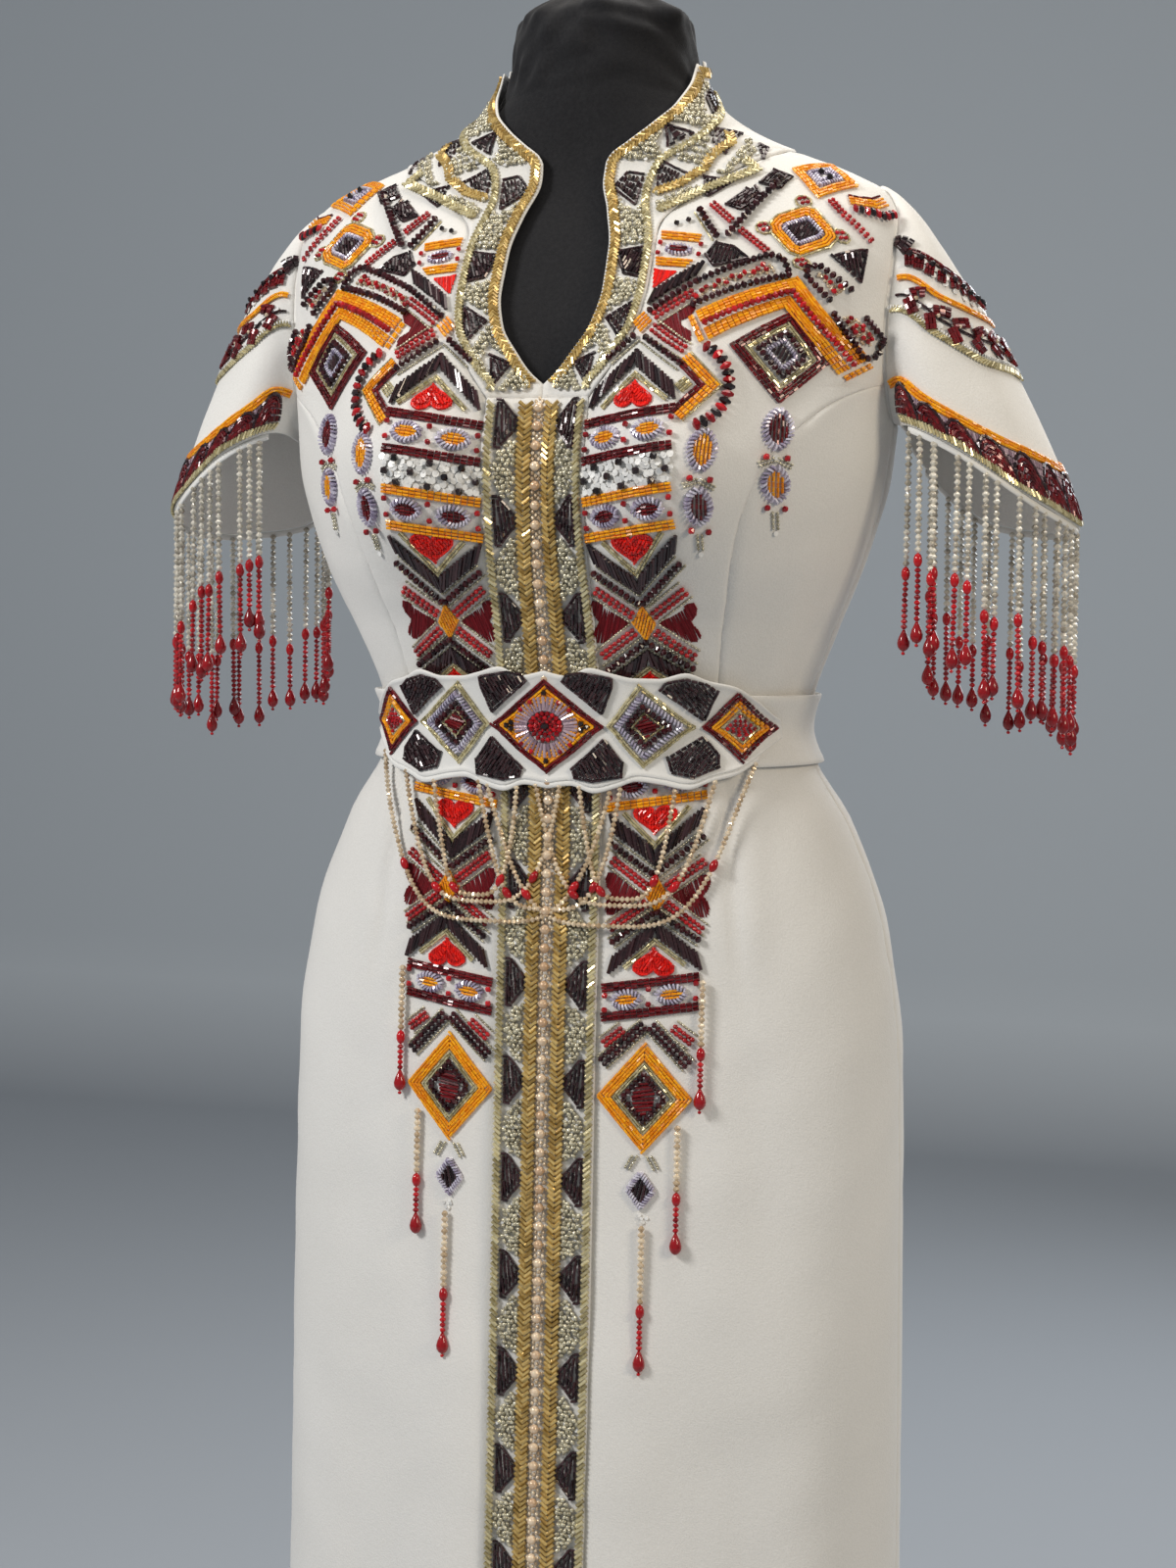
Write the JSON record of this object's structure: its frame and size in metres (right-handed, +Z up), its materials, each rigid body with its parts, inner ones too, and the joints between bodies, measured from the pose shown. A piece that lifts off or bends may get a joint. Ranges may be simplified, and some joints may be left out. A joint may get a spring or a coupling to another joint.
{
  "type": "kabyle dress on a dress form",
  "caption": "Long kabyle dress with a slit stand collar, beaded front band, cap sleeves with bead fringe and a belt plaque, worn on a limbless dress form on a round stand.",
  "frame": {"origin": "centre of the stand's foot, on the floor", "axes": "+Z up, the dress's front faces -Y, +X to the right of someone facing its front"},
  "size_m": [0.6266, 0.3061, 1.566],
  "materials": {
    "crepe": "matte crepe",
    "beaded_band": "bead-worked crepe",
    "belt_crepe": "matte crepe",
    "plaque_beads": "bead-worked felt",
    "pearl_beads": "pearl",
    "red_beads": "faceted gloss",
    "jersey": "matte jersey",
    "base_metal": "satin",
    "steel": "brushed"
  },
  "bodies": {
    "root": {"bodice_front_right": "crepe", "bodice_front_left": "crepe", "bodice_side_right": "crepe", "bodice_side_left": "crepe", "bodice_back_right": "crepe", "bodice_back_left": "crepe", "neckband_right": "beaded_band", "neckband_left": "beaded_band", "collar_back": "crepe", "band_upper": "beaded_band", "band_lower": "beaded_band", "skirt_front_right": "crepe", "skirt_front_left": "crepe", "skirt_back_right": "crepe", "skirt_back_left": "crepe", "sleeve_right": "crepe", "sleeve_left": "crepe", "fringe_right": "red_beads", "fringe_left": "red_beads", "belt_band": "belt_crepe", "belt_plaque": "plaque_beads", "belt_chains": "pearl_beads", "drop_outer_right": "red_beads", "drop_outer_left": "red_beads", "drop_middle_right": "red_beads", "drop_middle_left": "red_beads", "drop_inner_right": "red_beads", "drop_inner_left": "red_beads", "form_torso": "jersey", "stand_base": "base_metal", "stand_pole": "steel", "stand_hub": "base_metal"}
  },
  "joints": []
}
